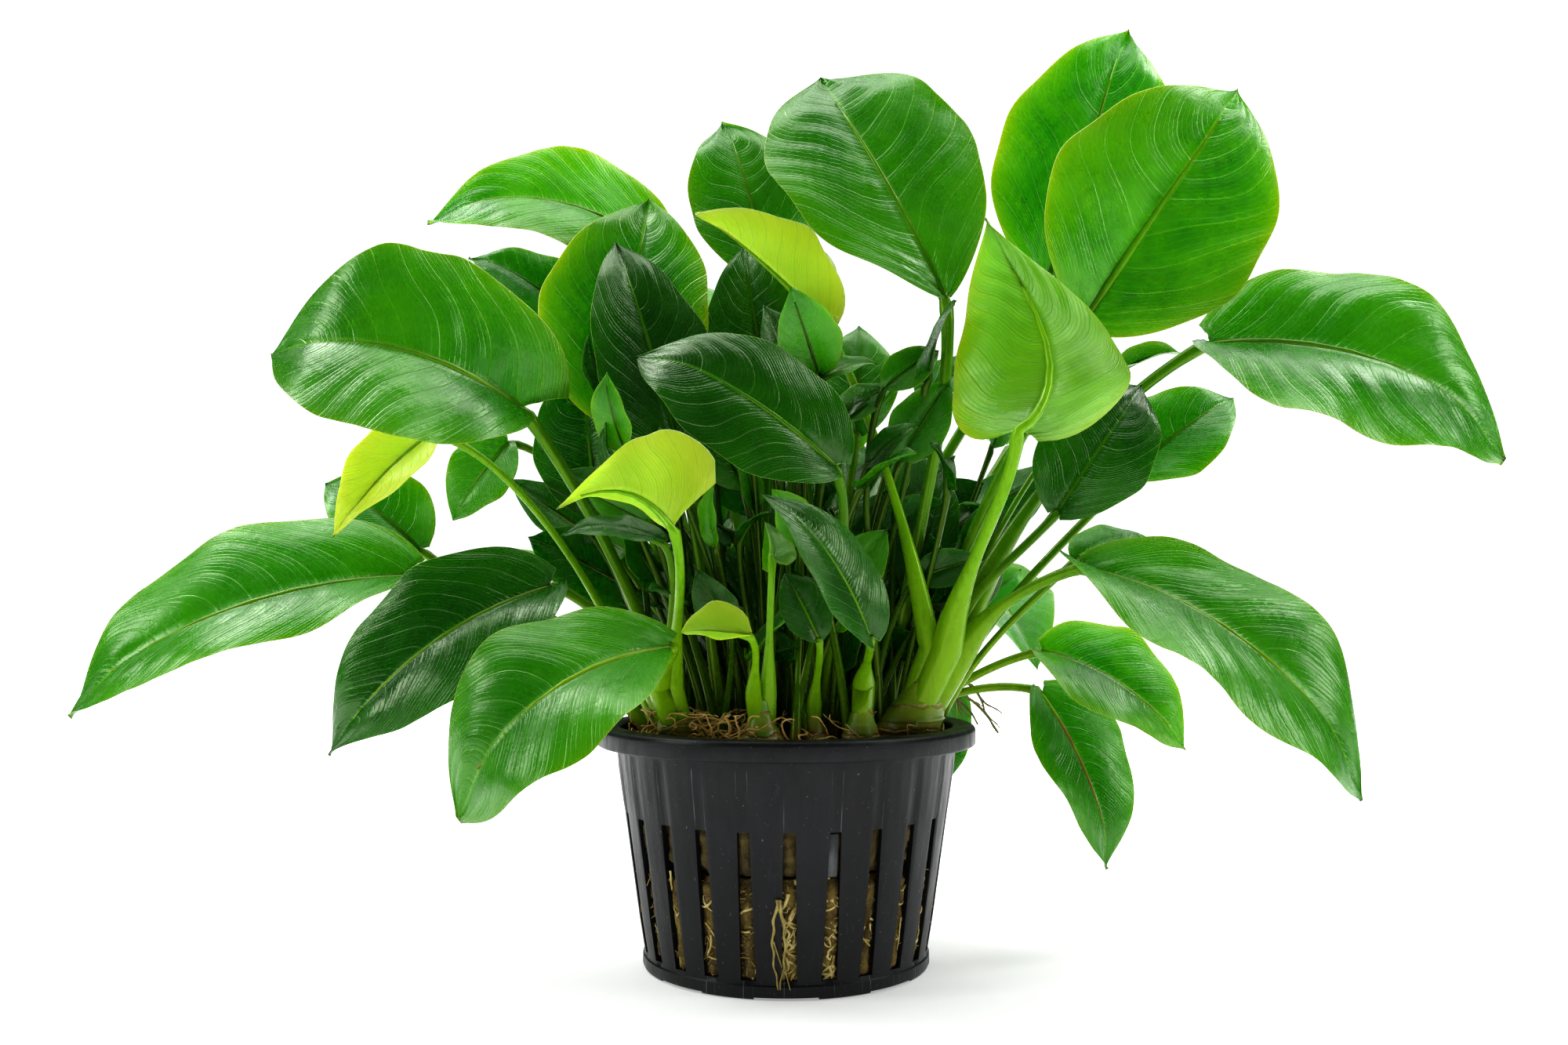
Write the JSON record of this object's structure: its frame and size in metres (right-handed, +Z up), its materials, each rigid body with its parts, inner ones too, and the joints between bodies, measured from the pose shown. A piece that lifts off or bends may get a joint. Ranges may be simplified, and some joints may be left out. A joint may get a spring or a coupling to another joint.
{
  "type": "potted anubias plant",
  "caption": "Broad-leaved aquarium plant with creeping rhizomes, rooted in stone wool in a round slotted net pot.",
  "frame": {"origin": "centre of the pot's underside", "axes": "+Z up, -Y towards the plant's front, X along the plant's widest spread"},
  "size_m": [0.3329, 0.1826, 0.24],
  "materials": {
    "pot": "satin, scuffed",
    "wool": "fibrous, damp",
    "rhizome": "smooth, with leaf scars",
    "root": "matt",
    "leaf_deep": "glossy",
    "leaf_mature": "glossy",
    "leaf_bright": "satin",
    "leaf_young": "satin"
  },
  "bodies": {
    "root": {"net_pot": "pot", "stone_wool_lower": "wool", "stone_wool_upper": "wool", "rhizome_right": "rhizome", "crown_left": "rhizome", "crown_front_left": "rhizome", "crown_front": "rhizome", "crown_front_right": "rhizome", "crown_rear": "rhizome", "crown_rear_left": "rhizome", "root_front": "root", "root_tangle_left": "root", "root_aerial_right": "root", "leaf_top_centre": "leaf_mature", "leaf_top_right_rear": "leaf_bright", "leaf_top_right": "leaf_bright", "leaf_top_rear": "leaf_mature", "leaf_top_tip": "leaf_bright", "leaf_right_upper": "leaf_mature", "leaf_right_pale": "leaf_young", "leaf_right_inner": "leaf_deep", "leaf_right_small": "leaf_mature", "leaf_right_curled": "leaf_mature", "leaf_right_big": "leaf_mature", "leaf_right_behind": "leaf_mature", "leaf_right_rear": "leaf_bright", "leaf_right_low": "leaf_mature", "leaf_right_lowest": "leaf_mature", "leaf_rim_right": "leaf_mature", "leaf_left_top": "leaf_bright", "leaf_left_top_rear": "leaf_mature", "leaf_left_large": "leaf_mature", "leaf_left_young": "leaf_young", "leaf_left_grey": "leaf_mature", "leaf_left_behind": "leaf_mature", "leaf_far_left": "leaf_mature", "leaf_left_mid": "leaf_deep", "leaf_left_under": "leaf_mature", "leaf_front_left_low": "leaf_mature", "leaf_centre_left": "leaf_bright", "leaf_centre_dark": "leaf_deep", "leaf_centre_rear": "leaf_deep", "leaf_centre_young": "leaf_young", "leaf_centre_glossy": "leaf_deep", "leaf_centre_behind": "leaf_mature", "leaf_centre_shade": "leaf_deep", "leaf_front_cup": "leaf_young", "leaf_front_cup_under": "leaf_deep", "leaf_front": "leaf_deep", "leaf_front_low": "leaf_deep", "leaf_front_pale": "leaf_young", "leaf_front_tiny": "leaf_bright", "leaf_rear_left_low": "leaf_mature", "leaf_rear_low": "leaf_deep", "leaf_rear_right_low": "leaf_mature", "leaf_rear_left": "leaf_bright", "leaf_rear": "leaf_deep", "leaf_rear_right": "leaf_mature", "leaf_rear_top": "leaf_bright"}
  },
  "joints": []
}
